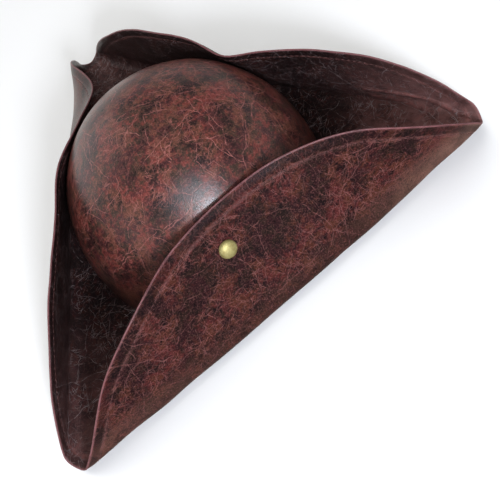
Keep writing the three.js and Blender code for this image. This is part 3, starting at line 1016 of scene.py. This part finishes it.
def make_brass():
    """Pale brass, lightly tarnished, with fine scuffs, and painted near black below the cap, as painted
    shade on the post and head.
    """
    g = Graph("brass")
    place = g.place()
    tarnish = g.noise(place, *TARNISH)
    scuff = g.noise(g.mapping(place, *SCUFFS), 1.0, 3, 0.6)
    colour = g.mixed(g.span(tarnish, *TARNISH_GROWS), BRASS, BRASS_TARNISHED)
    colour = g.mixed(g.span(scuff, *SCUFFS_GROW), colour, BRASS_SCUFFED)
    # Painted shade: the post and head below the cap are painted near black
    g.set("Base Color", g.mixed(g.attribute("shown"), BRASS_PAINTED_SHADE, colour))
    g.set("Metallic", BRASS_METALLIC)
    g.set("Roughness", g.span(tarnish, *BRASS_ROUGHNESS))
    g.bump(g.math("ADD", tarnish, scuff), *BRASS_RELIEF)
    return g.material


def make_floor_paper():
    g = Graph("floor_paper")
    g.set("Base Color", g.mixed(g.noise(g.place(), 3.0, 3, 0.5), *FLOOR_TONES))
    g.set("Roughness", 0.9)
    g.set("Specular IOR Level", 0.1)
    return g.material


def make_paper(name, tones):
    """Pale paper that glows evenly, so it needs no light of its own."""
    g = Graph(name)
    mottle = g.noise(g.place(), 1.5, 2, 0.5)
    g.set("Base Color", g.mixed(mottle, *PAPER_TONES))
    g.set("Emission Color", g.mixed(mottle, *tones))
    g.set("Emission Strength", 1.0)
    g.set("Roughness", 1.0)
    return g.material


def add_stage(name, vertices, faces, material):
    mesh = bpy.data.meshes.new(name)
    mesh.from_pydata(vertices, [], faces)
    mesh.materials.append(material)
    mesh.shade_smooth()
    obj = bpy.data.objects.new(name, mesh)
    bpy.context.scene.collection.objects.link(obj)
    return obj


def rectangle(low, high, level):
    corners = (low[0], low[1]), (high[0], low[1]), (high[0], high[1]), (low[0], high[1])
    return [(x, y, level) for x, y in corners]


def make_floor():
    corners = rectangle((-FLOOR_HALF, -FLOOR_HALF), (FLOOR_HALF, FLOOR_HALF), FLOOR_LEVEL)
    floor = add_stage("floor", corners, [(0, 1, 2, 3)], make_floor_paper())
    floor.visible_glossy = False


def make_card():
    """A white card on the floor beside the hat, seen only in its glancing reflections."""
    corners = rectangle(CARD_LOW, CARD_HIGH, CARD_LEVEL)
    card = add_stage("card", corners, [(0, 1, 2, 3)], make_paper("card_paper", CARD_TONES))
    card.visible_camera = False
    card.visible_diffuse = False
    card.visible_shadow = False


def make_backdrop():
    """A pale round wall, seen by the camera and in glancing reflections."""
    count = BACKDROP_SIDES
    turns = np.arange(count) * 2 * math.pi / count
    ring = [(BACKDROP_RADIUS * math.cos(t), BACKDROP_RADIUS * math.sin(t)) for t in turns]
    vertices = [(x, y, level) for level in (FLOOR_LEVEL, BACKDROP_HEIGHT) for x, y in ring]
    faces = [((k + 1) % count, k, k + count, (k + 1) % count + count) for k in range(count)]
    backdrop = add_stage("backdrop", vertices, faces, make_paper("backdrop_paper", BACKDROP_TONES))
    backdrop.visible_diffuse = False
    backdrop.visible_shadow = False


def add_light(data, place, target, power):
    data.energy = power
    light = bpy.data.objects.new(data.name, data)
    light.location = place
    light.rotation_euler = (Vector(target) - Vector(place)).to_track_quat("-Z", "Y").to_euler()
    light.visible_camera = False
    bpy.context.scene.collection.objects.link(light)
    return light


def make_lights():
    """A wide overhead light that leaves no reflection, and soft boxes round the hat."""
    data = bpy.data.lights.new(SUN["name"], "SUN")
    data.angle = math.radians(SUN_ANGLE)
    overhead = add_light(data, SUN["place"], SUN["target"], SUN["power"])
    overhead.visible_glossy = False
    for box in SOFTBOXES:
        data = bpy.data.lights.new(box["name"], "AREA")
        data.shape = "ELLIPSE"
        data.size, data.size_y = box["size"]
        data.color = box["colour"]
        add_light(data, box["place"], HAT_MIDDLE, box["power"])
    world = bpy.data.worlds.new("studio")
    world.use_nodes = True
    world.node_tree.nodes["Background"].inputs[0].default_value = (1, 1, 1, 1)
    world.node_tree.nodes["Background"].inputs[1].default_value = WORLD_STRENGTH
    bpy.context.scene.world = world


def make_camera():
    azimuth, elevation, roll = (math.radians(a) for a in (CAMERA_AZIMUTH, CAMERA_ELEVATION, CAMERA_ROLL))
    back = Vector((
        math.sin(azimuth) * math.cos(elevation),
        -math.cos(azimuth) * math.cos(elevation),
        math.sin(elevation),
    ))
    level = (-back).cross(Vector((0, 0, 1))).normalized()
    upright = level.cross(-back)
    image_right = level * math.cos(roll) - upright * math.sin(roll)
    image_up = level * math.sin(roll) + upright * math.cos(roll)
    matrix = Matrix((image_right, image_up, back)).transposed().to_4x4()
    matrix.translation = (Vector(CAMERA_TARGET) + back * CAMERA_DISTANCE) * MM + Vector(AXIS)
    data = bpy.data.cameras.new("camera")
    data.sensor_fit = "HORIZONTAL"
    data.sensor_width = SENSOR_WIDTH
    data.lens = SENSOR_WIDTH * FOCAL_PIXELS / PHOTO_PIXELS
    data.clip_start = 0.01
    data.clip_end = 50
    camera = bpy.data.objects.new("camera", data)
    camera.matrix_world = matrix
    bpy.context.scene.collection.objects.link(camera)
    return camera


leather_brim = make_leather("leather_brim", BRIM_PATTERN_PLACE, SHADED_BRIM_COLOURS, BRIM_WEAR)
leather_crown = make_leather("leather_crown", CROWN_PATTERN_PLACE, CROWN_COLOURS, CROWN_WEAR)
thread = make_thread()
brass = make_brass()

brim = make_brim(leather_brim)
crown = make_crown(leather_crown)
stitches = make_stitches(thread)
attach(brim, "root")
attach(crown, "root")
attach(stitches, "root")
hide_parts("brim")
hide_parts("crown")
for side, flap in FLAPS.items():
    seat = stud_seat(flap)
    stud = make_stud(f"brass_stud_{side}", seat, head_depth(side, seat[1], seat[2]), brass)
    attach(stud, "root")
    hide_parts(f"stud_{side}")

make_floor()
make_backdrop()
make_card()
make_lights()
scene = bpy.context.scene
scene.camera = make_camera()
scene.view_settings.view_transform = "Standard"
